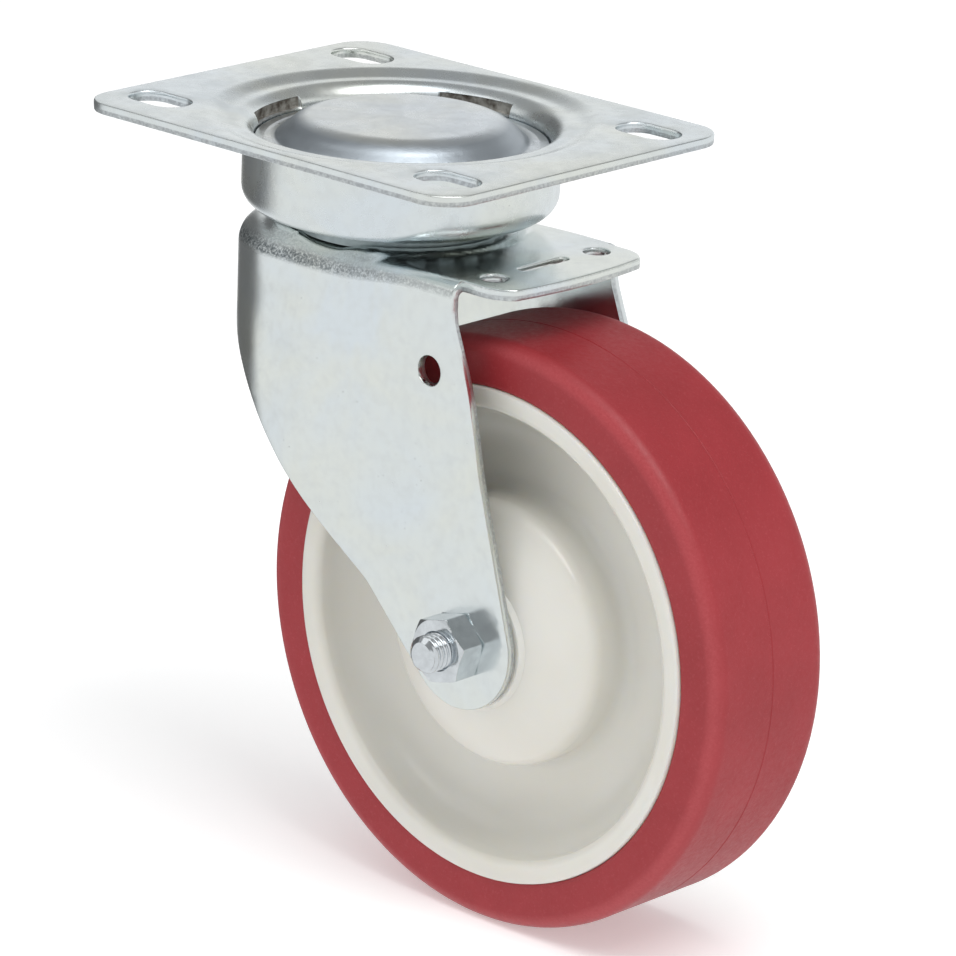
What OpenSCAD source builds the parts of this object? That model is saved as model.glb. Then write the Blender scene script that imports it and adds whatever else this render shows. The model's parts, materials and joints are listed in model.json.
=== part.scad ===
// Swivel plate castor, 125 mm wheel.
// Origin: centre of the top plate's mounting face, on the swivel axis.
// +Z is up, +X points along the plate's long side toward the wheel, +Y runs along the axle.

/* [Top plate] */
// Length of the top plate, along X
plate_l = 105; // [100:1:120]
// Width of the top plate, along Y
plate_w = 85; // [83:1:100]
// Thickness of the plate and cup sheet
plate_t = 2.2; // [2:0.1:2.3]
// Corner radius of the top plate
plate_corner_r = 8; // [4:1:10]
// Distance between mounting slot centres, along X
slot_dx = 82; // [80:1:84]
// Distance between mounting slot centres, along Y
slot_dy = 60; // [58:1:62]
// Width of a mounting slot
slot_w = 9; // [8:0.5:9]
// Full length of a mounting slot
slot_l = 15; // [12:1:16]

/* [Swivel head] */
// Outer radius of the bearing cup
cup_r = 33; // [32.5:0.1:33.5]
// Depth of the bearing cup under the mounting face
cup_depth = 19.4; // [19.2:0.1:19.6]
// Number of balls in the upper row
upper_count = 22; // [12:1:22]
// Number of balls in the lower row
lower_count = 20; // [12:1:20]

/* [Fork] */
// Distance between the outer faces of the legs
fork_w = 50.6; // [49.6:0.2:51.6]
// Thickness of the fork sheet
fork_t = 2.3; // [2:0.1:2.5]
// Distance of the wheel axle in front of the swivel axis
trail = 44; // [42:0.5:46]
// Depth of the wheel axle under the mounting face
axle_depth = 98; // [97:0.5:100]
// Radius of the rounded leg ends
leg_end_r = 13.8; // [12:0.2:15]
// Diameter of the accessory holes in the legs
leg_hole_d = 6.2; // [5:0.1:8]

/* [Wheel] */
// Diameter of the wheel over the tyre
wheel_d = 125; // [120:1:125]
// Width of the tyre
tyre_w = 33.6; // [30:0.2:34]
// Diameter where tyre and wheel centre meet at the side
rim_d = 105; // [100:1:106]
// Number of rollers in the wheel bearing
roller_count = 10; // [6:1:10]

/* [Hidden] */

arc_steps = 8;          // straight pieces in one profile arc

zinc = "lightsteelblue";
steel = "silver";
nylon = "ivory";

// swivel head
cup_corner_r = 4.5;                         // outer radius of the cup's bottom corner
cup_in_r = cup_r - plate_t;                 // inner radius of the cup wall
cup_floor_z = -cup_depth + plate_t;         // upper face of the cup floor
step_r = 24;                                // radius of the step between the two tracks
track_z = cup_floor_z + 0.8;                // under face of the raised inner floor
mouth_r = 16.4;                             // opening in the cup floor
step_round = 1.5;                           // rounding of the step's upper edge
step_bevel = 1;                             // bevel of its lower edge
dome_t = 2;
dome_top_z = -0.3;                          // the dome stays under the mounting face
dome_flat_r = 18;
dome_bend_r = 8;                            // rounding between the flat and the flank
dome_foot = [[25.6, 0.5], [26.8, 0]];       // foot of the flank: radius, and height over the rim
dome_under_r = 25.2;                        // inner end of the rim's under side
dome_rim_gap = 0.3;                         // room between the dome's rim and the well's wall
dome_rim_r = cup_in_r - dome_rim_gap;
dome_rim_z = -5.2;                          // upper face of the dome's rim
upper_ball_r = 3.175;                       // quarter inch balls
ball_play = 0.04;                           // play over both ball rows
ball_wall_gap = 0.2;                        // room between the upper balls and the cup
race_gap = 0.2;                             // room beside the upper race in the cup
race_fit = 0.05;                            // room round the upper race
upper_race_rise = 0.6;                      // how far the races reach up beside the balls
lower_race_rise = 0.4;
upper_pitch_r = cup_in_r - upper_ball_r - ball_wall_gap;
upper_ball_z = dome_rim_z - dome_t - upper_ball_r - ball_play;
upper_race_z = upper_ball_z - upper_ball_r + upper_race_rise;
lower_ball_r = 2.5;
lower_pitch_r = 19.2;
lower_ball_z = track_z - lower_ball_r - ball_play;
lower_race_z = lower_ball_z - lower_ball_r + lower_race_rise;
track_gap = 0.06;                           // clearance of the balls in their races
pocket_gap = 0.1;                           // clearance of the balls in their cages
cage_t = 1.6;                               // thickness of both cages
cage_web = 1;                               // web inside the pockets
cage_reach = 1.4;                           // cage width outside the ball centres
seal_h = 3;
seal_drop = 1.6;                            // how far the seal reaches under the cup floor
seal_gap = 0.2;                             // room round the seal in the cup's mouth
seal_fit = 0.02;                            // room between the seal and the rivet
dish_r = 41;                                // edge of the shallow dish around the well
dish_z = -1.2;                              // depth of that dish
lip_r = 4;                                  // draw radius between dish and cup wall
window_half = 16;                           // half angle of each pocket in the well wall
window_mid = 13.5;                          // middle angle of the first pocket
window_top_z = -2.7;
window_h = 2.3;
window_depth = 1.3;

// fork
fork_top_z = -23;                           // upper face of the fork head
hw = fork_w / 2;                            // half width over the legs
back_r = 22;                                // plan radius of the rear corners
back_x = -34.7;                             // rear face of the fork
bend_r = 3.6;                               // outer radius between head and legs
leg_top_x = 38.8;                           // front edge of the legs at the head
plan_reach = 4;                             // the untrimmed block runs this far past the tongue
// front edge of the legs, from the knee up to the head
leg_curve = [[46.1, -53.3], [44.2, -45.6], [40.6, -35.6], [39.2, -31.6], [leg_top_x, -28]];
leg_foot_z = -130;                          // level below the legs
knee_x = 47.7;                              // lower end of the front edge's curve
knee_z = -61.6;
// lower edge of the skirt, from the back down to where it runs into the leg
skirt_curve = [
    [back_x - 1, -44.6], [-31.5, -45], [-28.2, -46.6], [-25.4, -49], [-21.8, -53], [-18.6, -57.4],
    [-14.9, -62.6], [-10.3, -68.4], [-4.9, -73.9], [6.7, -83.3], [17.8, -91.2]
];
tongue_root_x = 20;                         // hidden end of the tongue, inside the head
tongue_x = 51.8;                            // front edge of the tongue
tongue_hw = 21.8;                           // half width of the tongue
tongue_corner_r = 8;
tongue_front_r = 120;                       // sweep of the front edge
tongue_hole_x = 41.2;
tongue_hole_y = 15.3;
tongue_hole_d = 5.5;
tongue_slot_x = 40.5;
tongue_slot_l = 14;
tongue_slot_w = 2.6;
leg_hole_x = 33.3;
leg_hole_z = -42.4;
race_in_r = 16.2;                           // lower race, inside the head's bead
race_out_r = 22.2;
bead_in_r = 22.3;                           // raised bead round the lower race
bead_out_r = 26.4;
bead_h = 1;
rivet_r = 12;                               // rivet shank in the fork head
rivet_bore_r = 9.8;
rivet_collar_r = 14.6;
rivet_head_t = 1.7;
rivet_bevel = 0.8;                          // bevel of the formed head
rivet_crown_t = 2.4;                        // closed end under the dome

// axle and wheel
leg_in = hw - fork_t;                       // inner face of each leg
bolt_r = 3.95;
bolt_hole_r = 4.2;
bolt_head_t = 5.3;
hex_flats = 13;
hex_bevel_w = 1.2;
hex_bevel_h = 0.7;
nut_t = 6.3;
nut_turn = 14;                              // where the nut stopped when it was tightened
thread_end_y = -36.1;
thread_point_l = 1;                         // bevelled tip of the thread
thread_point_r = 2.85;
washer_t = 2;
washer_r = 7.2;
washer_gap = 1;                             // split in the spring washer
washer_turn = 80;                           // where that split stopped
tube_r = 6;
tube_bore_r = 4.1;
roller_r = 1.75;
roller_l = 34;
roller_play = 0.03;                         // play on both sides of the rollers
roller_cage_gap = 0.5;                      // room inside and outside their cage
roller_pitch_r = tube_r + roller_r + roller_play;
sleeve_in_r = roller_pitch_r + roller_r + roller_play;
sleeve_r = 11;
sleeve_l = 36;
hub_hw = 22.2;                              // half length of the hub
cap_r = 12.5;
cap_proud = 0.3;                            // how far the caps stand out of the hub
cap_sleeve_gap = 0.2;                       // room between caps and sleeve
cap_tube_gap = 0.15;                        // room between caps and axle tube
cap_bevel = 0.6;
boss_r = 28.3;                              // side of the boss
boss_edge_r = 4.3;                          // rounding of its edge
boss_edge_y = 12.6;                         // height of that rounding's centre
boss_dome_r = 42;                           // radius of its domed face
dome_a = 59;                                // angle where the dome meets the rounding
dome_start_a = 76;                          // angle where it starts at the hub's face
edge_start_a = 47;                          // first angle of the rounding
hub_face_w = 1.2;                           // flat ring round the end caps
root_r = 3.6;                               // fillet between boss and web
web_y = 5;                                  // half thickness of the web
bowl_r = 12;                                // sweep between web and rim
bowl_mid_r = 36;                            // start of that sweep
wheel_r = wheel_d / 2;
rim_r = rim_d / 2;
rim_hw = 17.5;                              // half width of the nylon rim
rim_lip_r = 2.1;                            // rounding of the rim's lip
rim_lip_mid_r = 49.6;
rim_key_y = 14.5;                           // where the tyre starts to reach under the rim
rim_seat_hw = 12.5;                         // half width of the tyre's seat
rim_seat_r = 54.5;                          // bottom of the tyre between the rim edges
tyre_corner_r = 3.4;

// ---- helpers ----

// points of an arc about c, from angle a0 to a1
function arc(c, r, a0, a1, n = arc_steps) =
    [for (i = [0:n]) let (a = a0 + (a1 - a0) * i / n) [c[0] + r * cos(a), c[1] + r * sin(a)]];

// point where a line from p touches the circle about c, on the chosen side
function touch(p, c, r, side) =
    let (d = norm(c - p), base = atan2(p[1] - c[1], p[0] - c[0]), a = base + side * acos(r / d))
    [c[0] + r * cos(a), c[1] + r * sin(a)];

// places children at the wheel axle, with their Z axis along the part's -Y axis
module on_axle() {
    translate([trail, 0, -axle_depth])
        rotate([90, 0, 0])
            children();
}

// solid of revolution about the axle from points of radius and distance along -Y
module turned(points) {
    on_axle()
        rotate_extrude($fn = 120)
            polygon(points);
}

// ring between two radii, standing on z
module ring(r_out, r_in, z, h) {
    translate([0, 0, z])
        difference() {
            cylinder(r = r_out, h = h, $fn = 120);
            translate([0, 0, -1])
                cylinder(r = r_in, h = h + 2, $fn = 120);
        }
}

// ring of separate balls
module ball_row(count, pitch_r, ball_r, z) {
    for (i = [0:count - 1])
        rotate([0, 0, i * 360 / count])
            translate([pitch_r, 0, z])
                sphere(r = ball_r, $fn = 32);
}

// flat ring with one pocket per ball, each open at the ring's outer edge
module ball_cage(count, pitch_r, ball_r, z) {
    pocket_r = ball_r + pocket_gap;
    difference() {
        ring(pitch_r + cage_reach, pitch_r - pocket_r - cage_web, z - cage_t / 2, cage_t);
        for (i = [0:count - 1])
            rotate([0, 0, i * 360 / count])
                translate([pitch_r, 0, z - cage_t])
                    cylinder(r = pocket_r, h = 2 * cage_t, $fn = 32);
    }
}

// slot with round ends along X, cut through a sheet that hangs under z
module slot_cut(l, w, z, depth) {
    translate([0, 0, z - depth - 1])
        linear_extrude(depth + 2)
            union() {
                square([l - w, w], center = true);
                for (s = [-1, 1])
                    translate([s * (l - w) / 2, 0])
                        circle(d = w, $fn = 48);
            }
}

// rectangle with four round corners
module rounded_plate_2d(l, w, r) {
    square([l - 2 * r, w], center = true);
    square([l, w - 2 * r], center = true);
    for (x = [-1, 1], y = [-1, 1])
        translate([x * (l / 2 - r), y * (w / 2 - r)])
            circle(r = r, $fn = 64);
}

// ---- swivel head ----

// section of the dished plate ring, the well and the cup, as radius and height
module cup_section() {
    wall_c = [cup_in_r + lip_r, dish_z - lip_r];
    floor_c = [cup_r - cup_corner_r, -cup_depth + cup_corner_r];
    under_r = step_r - plate_t;
    polygon(concat(
        [[dish_r, 0], [cup_in_r + lip_r, dish_z]],
        arc(wall_c, lip_r, 90, 180),
        arc(floor_c, cup_corner_r - plate_t, 0, -90),
        [[step_r, cup_floor_z]],
        arc([step_r, track_z + plate_t] - [step_round, step_round], step_round, 0, 90, 4),
        [[mouth_r, track_z + plate_t], [mouth_r, track_z]],
        [[under_r, track_z], [under_r, -cup_depth + step_bevel], [under_r + step_bevel, -cup_depth]],
        arc(floor_c, cup_corner_r, -90, 0),
        arc([cup_r + lip_r - plate_t, dish_z - lip_r], lip_r - plate_t, 180, 90, 4),
        [[dish_r, -plate_t]]
    ));
}

module top_plate() {
    color(zinc)
        difference() {
            union() {
                difference() {
                    translate([0, 0, -plate_t])
                        linear_extrude(plate_t)
                            rounded_plate_2d(plate_l, plate_w, plate_corner_r);
                    translate([0, 0, -plate_t - 1])
                        cylinder(r = dish_r, h = plate_t + 2, $fn = 160);
                }
                rotate_extrude($fn = 160)
                    cup_section();
            }
            for (x = [-1, 1], y = [-1, 1])
                translate([x * slot_dx / 2, y * slot_dy / 2, 0])
                    slot_cut(slot_l, slot_w, 0, plate_t);
            for (i = [0:3])
                rotate([0, 0, window_mid + 90 * i - window_half])
                    rotate_extrude(angle = 2 * window_half, $fn = 160)
                        translate([cup_in_r - 1, window_top_z - window_h])
                            square([1 + window_depth, window_h]);
        }
}

module swivel_dome() {
    bend_c = [dome_flat_r, dome_top_z - dome_bend_r];
    color(zinc)
        rotate_extrude($fn = 120)
            polygon(concat(
                [[0, dome_top_z]],
                arc(bend_c, dome_bend_r, 90, 45),
                [for (p = dome_foot) [p[0], dome_rim_z + p[1]]],
                [[dome_rim_r, dome_rim_z], [dome_rim_r, dome_rim_z - dome_t]],
                [[dome_under_r, dome_rim_z - dome_t]],
                arc(bend_c, dome_bend_r - dome_t, 45, 90),
                [[0, dome_top_z - dome_t]]
            ));
}

// hardened ring that stands on the cup floor under the upper balls
module upper_race() {
    corner = cup_corner_r - plate_t + race_gap;
    out_r = cup_in_r - race_fit;
    in_r = step_r + race_gap;
    color(steel)
        difference() {
            rotate_extrude($fn = 120)
                polygon([
                    [in_r, cup_floor_z], [out_r - corner, cup_floor_z],
                    [out_r, cup_floor_z + corner], [out_r, upper_race_z], [in_r, upper_race_z]
                ]);
            rotate_extrude($fn = 120)
                translate([upper_pitch_r, upper_ball_z])
                    circle(r = upper_ball_r + track_gap, $fn = 48);
        }
}

module upper_balls() {
    color(steel)
        ball_row(upper_count, upper_pitch_r, upper_ball_r, upper_ball_z);
}

module upper_ball_cage() {
    color("dimgray")
        ball_cage(upper_count, upper_pitch_r, upper_ball_r, upper_ball_z);
}

module lower_balls() {
    color(steel)
        ball_row(lower_count, lower_pitch_r, lower_ball_r, lower_ball_z);
}

module lower_ball_cage() {
    color("dimgray")
        ball_cage(lower_count, lower_pitch_r, lower_ball_r, lower_ball_z);
}

module lower_race() {
    color(steel)
        difference() {
            ring(race_out_r, race_in_r, fork_top_z, lower_race_z - fork_top_z);
            rotate_extrude($fn = 120)
                translate([lower_pitch_r, lower_ball_z])
                    circle(r = lower_ball_r + track_gap, $fn = 48);
        }
}

module grease_seal() {
    color("darkslategray")
        ring(mouth_r - seal_gap, rivet_collar_r + seal_fit, track_z - seal_drop, seal_h);
}

module swivel_rivet() {
    under = fork_top_z - fork_t;
    foot = under - rivet_head_t;
    crown = dome_top_z - dome_t;
    color(steel)
        rotate_extrude($fn = 96)
            polygon([
                [0, crown], [rivet_collar_r, crown],
                [rivet_collar_r, fork_top_z], [rivet_r, fork_top_z],
                [rivet_r, under], [rivet_collar_r, under],
                [rivet_collar_r - rivet_bevel, foot], [rivet_bore_r, foot],
                [rivet_bore_r, crown - rivet_crown_t], [0, crown - rivet_crown_t]
            ]);
}

// ---- fork ----

// plan of the fork head, drawn in by d all round
module fork_plan(d) {
    xc = back_x + back_r;
    translate([xc, -hw + d])
        square([tongue_x + plan_reach - xc, fork_w - 2 * d]);
    translate([back_x + d, -hw + back_r])
        square([back_r, fork_w - 2 * back_r]);
    for (s = [-1, 1])
        translate([xc, s * (hw - back_r)])
            circle(r = back_r - d, $fn = 64);
}

// fork block with a round upper edge of radius r, drawn in by d
module fork_block(d, r) {
    top = fork_top_z - d;
    hull() {
        translate([0, 0, leg_foot_z])
            linear_extrude(top - r - leg_foot_z)
                fork_plan(d);
        for (a = [18:18:90])
            translate([0, 0, top - r])
                linear_extrude(r * sin(a))
                    fork_plan(d + r * (1 - cos(a)));
    }
}

// side view of head, skirt and legs, X across and Z up
module fork_side() {
    end_c = [trail, -axle_depth];
    skirt_foot = skirt_curve[len(skirt_curve) - 1];
    union() {
        polygon(concat(
            skirt_curve,
            [touch(skirt_foot, end_c, leg_end_r, 1)],
            [end_c],
            [touch([knee_x, knee_z], end_c, leg_end_r, -1)],
            [[knee_x, knee_z]],
            leg_curve,
            [[leg_top_x, fork_top_z + 2], [back_x - 1, fork_top_z + 2]]
        ));
        translate(end_c)
            circle(r = leg_end_r, $fn = 96);
    }
}

// flat tongue in front of the legs
module tongue_2d() {
    cx = tongue_x - tongue_corner_r;
    cy = tongue_hw - tongue_corner_r;
    intersection() {
        union() {
            translate([tongue_root_x, -tongue_hw])
                square([cx - tongue_root_x, 2 * tongue_hw]);
            translate([tongue_root_x, -cy])
                square([tongue_x - tongue_root_x, 2 * cy]);
            for (s = [-1, 1])
                translate([cx, s * cy])
                    circle(r = tongue_corner_r, $fn = 64);
        }
        translate([tongue_x - tongue_front_r, 0])
            circle(r = tongue_front_r, $fn = 360);
    }
}

module fork() {
    color(zinc)
        difference() {
            union() {
                intersection() {
                    difference() {
                        fork_block(0, bend_r);
                        fork_block(fork_t, bend_r - fork_t);
                    }
                    translate([0, hw + 1, 0])
                        rotate([90, 0, 0])
                            linear_extrude(fork_w + 2)
                                fork_side();
                }
                translate([0, 0, fork_top_z - fork_t])
                    linear_extrude(fork_t)
                        tongue_2d();
                intersection() {
                    ring(bead_out_r, bead_in_r, fork_top_z - fork_t / 2, fork_t / 2 + bead_h);
                    translate([0, 0, bead_h])
                        fork_block(0, bend_r);
                }
            }
            translate([0, 0, fork_top_z - fork_t - 1])
                cylinder(r = rivet_r, h = fork_t + 2, $fn = 96);
            for (s = [-1, 1])
                translate([tongue_hole_x, s * tongue_hole_y, fork_top_z - fork_t - 1])
                    cylinder(d = tongue_hole_d, h = fork_t + 2, $fn = 48);
            translate([tongue_slot_x, 0, 0])
                rotate([0, 0, 90])
                    slot_cut(tongue_slot_l, tongue_slot_w, fork_top_z, fork_t);
            translate([leg_hole_x, hw + 1, leg_hole_z])
                rotate([90, 0, 0])
                    cylinder(d = leg_hole_d, h = fork_w + 2, $fn = 48);
            translate([trail, hw + 1, -axle_depth])
                rotate([90, 0, 0])
                    cylinder(r = bolt_hole_r, h = fork_w + 2, $fn = 48);
        }
}

// ---- axle ----

// hexagon with chamfered corners on both faces, standing on z = 0
module hexagon(h) {
    corner_r = hex_flats / 2 / cos(30);
    face_r = corner_r - hex_bevel_w;
    intersection() {
        cylinder(r = corner_r, h = h, $fn = 6);
        rotate_extrude($fn = 96)
            polygon([
                [0, 0], [face_r, 0], [corner_r, hex_bevel_h],
                [corner_r, h - hex_bevel_h], [face_r, h], [0, h]
            ]);
    }
}

module axle_bolt() {
    head_y = hw + washer_t;
    point_y = thread_end_y + thread_point_l;
    color(steel)
        on_axle()
            union() {
                translate([0, 0, -head_y])
                    cylinder(r = bolt_r, h = head_y - point_y, $fn = 64);
                translate([0, 0, -point_y])
                    cylinder(r1 = bolt_r, r2 = thread_point_r, h = thread_point_l, $fn = 64);
                translate([0, 0, -head_y - bolt_head_t])
                    hexagon(bolt_head_t);
            }
}

module axle_nut() {
    color(steel)
        on_axle()
            difference() {
                translate([0, 0, hw])
                    rotate([0, 0, nut_turn])
                        hexagon(nut_t);
                cylinder(r = bolt_r, h = hw + nut_t + 1, $fn = 64);
            }
}

module spring_washer() {
    color(steel)
        on_axle()
            translate([0, 0, -hw - washer_t])
                difference() {
                    cylinder(r = washer_r, h = washer_t, $fn = 64);
                    translate([0, 0, -1])
                        cylinder(r = bolt_hole_r, h = washer_t + 2, $fn = 64);
                    rotate([0, 0, washer_turn])
                        translate([0, -washer_gap / 2, -1])
                            cube([washer_r + 1, washer_gap, washer_t + 2]);
                }
}

module axle_tube() {
    color(steel)
        turned([
            [tube_bore_r, -leg_in], [tube_r, -leg_in],
            [tube_r, leg_in], [tube_bore_r, leg_in]
        ]);
}

// ---- wheel ----

module bearing_rollers() {
    color(steel)
        on_axle()
            for (i = [0:roller_count - 1])
                rotate([0, 0, i * 360 / roller_count])
                    translate([roller_pitch_r, 0, -roller_l / 2])
                        cylinder(r = roller_r, h = roller_l, $fn = 32);
}

module roller_cage() {
    cage_in = tube_r + roller_cage_gap;
    cage_out = sleeve_in_r - roller_cage_gap;
    pocket_w = 2 * roller_r + pocket_gap;
    pocket_l = roller_l + pocket_gap;
    color("dimgray")
        on_axle()
            difference() {
                ring(cage_out, cage_in, -sleeve_l / 2, sleeve_l);
                for (i = [0:roller_count - 1])
                    rotate([0, 0, i * 360 / roller_count])
                        translate([cage_in - 1, -pocket_w / 2, -pocket_l / 2])
                            cube([cage_out - cage_in + 2, pocket_w, pocket_l]);
            }
}

module bearing_sleeve() {
    color(steel)
        turned([
            [sleeve_in_r, -sleeve_l / 2], [sleeve_r, -sleeve_l / 2],
            [sleeve_r, sleeve_l / 2], [sleeve_in_r, sleeve_l / 2]
        ]);
}

// cap with a dished face, pressed in the end of the hub; side is 1 at -Y and -1 at +Y
module end_cap(side) {
    face = hub_hw + cap_proud;
    base = sleeve_l / 2 + cap_sleeve_gap;
    in_r = tube_r + cap_tube_gap;
    color("lightgray")
        turned([for (p = [
            [in_r, base], [cap_r, base], [cap_r, face - cap_bevel],
            [cap_r - cap_bevel, face], [in_r + cap_bevel, face], [in_r, face - cap_bevel]
        ]) [p[0], side * p[1]]]);
}

module end_cap_left() {
    end_cap(1);
}

module end_cap_right() {
    end_cap(-1);
}

// outline of one side of the wheel centre, from the bore outward
function centre_side() =
    let (
        edge_c = [boss_r - boss_edge_r, boss_edge_y],
        dome_c = edge_c - (boss_dome_r - boss_edge_r) * [cos(dome_a), sin(dome_a)],
        root_c = [boss_r + root_r, web_y + root_r],
        bowl_c = [bowl_mid_r, web_y + bowl_r],
        lip_c = [rim_lip_mid_r, rim_hw - rim_lip_r]
    )
    concat(
        [[sleeve_r, sleeve_l / 2], [cap_r, sleeve_l / 2], [cap_r, hub_hw], [cap_r + hub_face_w, hub_hw]],
        arc(dome_c, boss_dome_r, dome_start_a, dome_a),
        arc(edge_c, boss_edge_r, edge_start_a, 0, 5),
        arc(root_c, root_r, 180, 270, 5),
        arc(bowl_c, bowl_r, 270, 346),
        arc(lip_c, rim_lip_r, 160, 90, 5),
        [[rim_r, rim_hw]]
    );

module wheel_centre() {
    side = centre_side();
    last = len(side) - 1;
    color(nylon)
        turned(concat(
            side,
            [[rim_r, rim_key_y], [rim_seat_r, rim_seat_hw]],
            [[rim_seat_r, -rim_seat_hw], [rim_r, -rim_key_y]],
            [for (i = [0:last]) [side[last - i][0], -side[last - i][1]]]
        ));
}

module tyre() {
    shoulder = tyre_w / 2;
    c = [wheel_r - tyre_corner_r, shoulder - tyre_corner_r];
    outer = concat(
        [[rim_r, rim_key_y], [rim_r, shoulder]],
        [for (p = arc([c[1], c[0]], tyre_corner_r, 0, 90, 6)) [p[1], p[0]]]
    );
    last = len(outer) - 1;
    color("indianred")
        turned(concat(
            [[rim_seat_r, rim_seat_hw]],
            outer,
            [for (i = [0:last]) [outer[last - i][0], -outer[last - i][1]]],
            [[rim_seat_r, -rim_seat_hw]]
        ));
}

// ---- drawing ----

top_plate();
swivel_dome();
upper_race();
upper_balls();
upper_ball_cage();
lower_balls();
lower_ball_cage();
lower_race();
grease_seal();
swivel_rivet();
fork();
axle_bolt();
axle_nut();
spring_washer();
axle_tube();
roller_cage();
bearing_rollers();
bearing_sleeve();
end_cap_left();
end_cap_right();
wheel_centre();
tyre();
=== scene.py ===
import json
import math

import bpy
import numpy as np
from mathutils import Matrix, Vector, noise
from mathutils.geometry import delaunay_2d_cdt

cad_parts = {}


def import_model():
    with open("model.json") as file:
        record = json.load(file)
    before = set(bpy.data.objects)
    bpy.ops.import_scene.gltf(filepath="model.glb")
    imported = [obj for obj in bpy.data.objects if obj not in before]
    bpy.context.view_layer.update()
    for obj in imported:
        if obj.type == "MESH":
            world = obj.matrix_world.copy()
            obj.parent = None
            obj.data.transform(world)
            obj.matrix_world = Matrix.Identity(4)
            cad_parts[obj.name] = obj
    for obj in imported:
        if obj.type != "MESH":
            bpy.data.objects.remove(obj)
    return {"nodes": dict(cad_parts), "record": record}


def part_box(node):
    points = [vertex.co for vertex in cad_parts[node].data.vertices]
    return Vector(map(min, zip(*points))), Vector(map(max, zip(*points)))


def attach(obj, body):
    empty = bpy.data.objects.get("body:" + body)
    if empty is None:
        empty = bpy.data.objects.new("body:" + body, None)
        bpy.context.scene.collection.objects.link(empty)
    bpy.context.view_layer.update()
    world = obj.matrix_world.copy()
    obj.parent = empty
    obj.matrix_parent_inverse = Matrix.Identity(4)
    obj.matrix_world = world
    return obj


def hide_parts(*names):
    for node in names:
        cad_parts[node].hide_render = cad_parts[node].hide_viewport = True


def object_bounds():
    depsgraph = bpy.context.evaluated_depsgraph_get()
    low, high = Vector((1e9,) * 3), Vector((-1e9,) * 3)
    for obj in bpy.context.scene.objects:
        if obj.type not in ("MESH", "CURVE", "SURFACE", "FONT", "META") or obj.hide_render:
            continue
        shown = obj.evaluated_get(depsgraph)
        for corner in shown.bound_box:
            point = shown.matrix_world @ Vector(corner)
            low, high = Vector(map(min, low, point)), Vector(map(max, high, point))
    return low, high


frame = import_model()
cad_lo, cad_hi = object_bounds()

MM = 0.001


def box(node):
    """Lowest and highest corner of a CAD node, in millimetres."""
    lo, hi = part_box(node)
    return np.array(lo) / MM, np.array(hi) / MM


plate_lo, plate_hi = box("top_plate")
fork_lo, fork_hi = box("fork")
tyre_lo, tyre_hi = box("tyre")
dome_hi = box("swivel_dome")[1]
centre_hi = box("wheel_centre")[1]
nut_lo, nut_hi = box("axle_nut")
bolt_lo, bolt_hi = box("axle_bolt")
washer_lo, washer_hi = box("spring_washer")
mounts = {m["name"]: m for m in frame["record"]["mounts"]}

axle = (tyre_lo + tyre_hi) / 2
wheel_r = (tyre_hi[2] - tyre_lo[2]) / 2

# ------------------------------------------------------------------ numbers and curves


def smooth(a, b, x):
    """0 below a, 1 above b, smooth between; a may be the larger one."""
    t = min(1.0, max(0.0, (x - a) / (b - a)))
    return t * t * (3 - 2 * t)


def wob(p, size, seed=0.0):
    """Smooth noise from -1 to 1 with features of about size, in millimetres."""
    return noise.noise(Vector((p[0] / size + seed, p[1] / size - seed, p[2] / size + 0.5 * seed)))


def arc(c, r, a0, a1, n=8):
    """Points of an arc, angles in degrees."""
    out = []
    for i in range(n + 1):
        a = math.radians(a0 + (a1 - a0) * i / n)
        out.append((c[0] + r * math.cos(a), c[1] + r * math.sin(a)))
    return out


def touch(p, c, r, side):
    """Point where a line from p touches the circle about c."""
    d = math.dist(p, c)
    a = math.atan2(p[1] - c[1], p[0] - c[0]) + side * math.acos(r / d)
    return (c[0] + r * math.cos(a), c[1] + r * math.sin(a))


def resample(points, step, closed=False):
    """Evenly spaced points along a polyline."""
    pts = np.array(points, float)
    if closed:
        pts = np.vstack([pts, pts[:1]])
    keep = np.concatenate([[True], np.linalg.norm(np.diff(pts, axis=0), axis=1) > 1e-6])
    pts = pts[keep]
    run = np.concatenate([[0], np.cumsum(np.linalg.norm(np.diff(pts, axis=0), axis=1))])
    n = max(2, int(round(run[-1] / step)))
    t = np.linspace(0, run[-1], n + 1)
    out = np.stack([np.interp(t, run, pts[:, k]) for k in range(pts.shape[1])], 1)
    return out[:-1] if closed else out


def spline(points, n=8):
    """Catmull-Rom curve through the points."""
    p = [np.array(q, float) for q in points]
    p = [2 * p[0] - p[1]] + p + [2 * p[-1] - p[-2]]
    out = []
    for i in range(1, len(p) - 2):
        for k in range(n):
            t = k / n
            out.append(
                0.5 * (2 * p[i] + (p[i + 1] - p[i - 1]) * t
                       + (2 * p[i - 1] - 5 * p[i] + 4 * p[i + 1] - p[i + 2]) * t * t
                       + (3 * p[i] - 3 * p[i + 1] + p[i + 2] - p[i - 1]) * t ** 3))
    out.append(p[-2])
    return [tuple(q) for q in out]


def shift_path(path, d):
    """An open path moved by d to its left."""
    p = np.array(path, float)
    t = np.gradient(p, axis=0)
    t /= np.linalg.norm(t, axis=1)[:, None]
    return p + d * np.stack([-t[:, 1], t[:, 0]], 1)


# ------------------------------------------------------------------ mesh making


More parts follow.
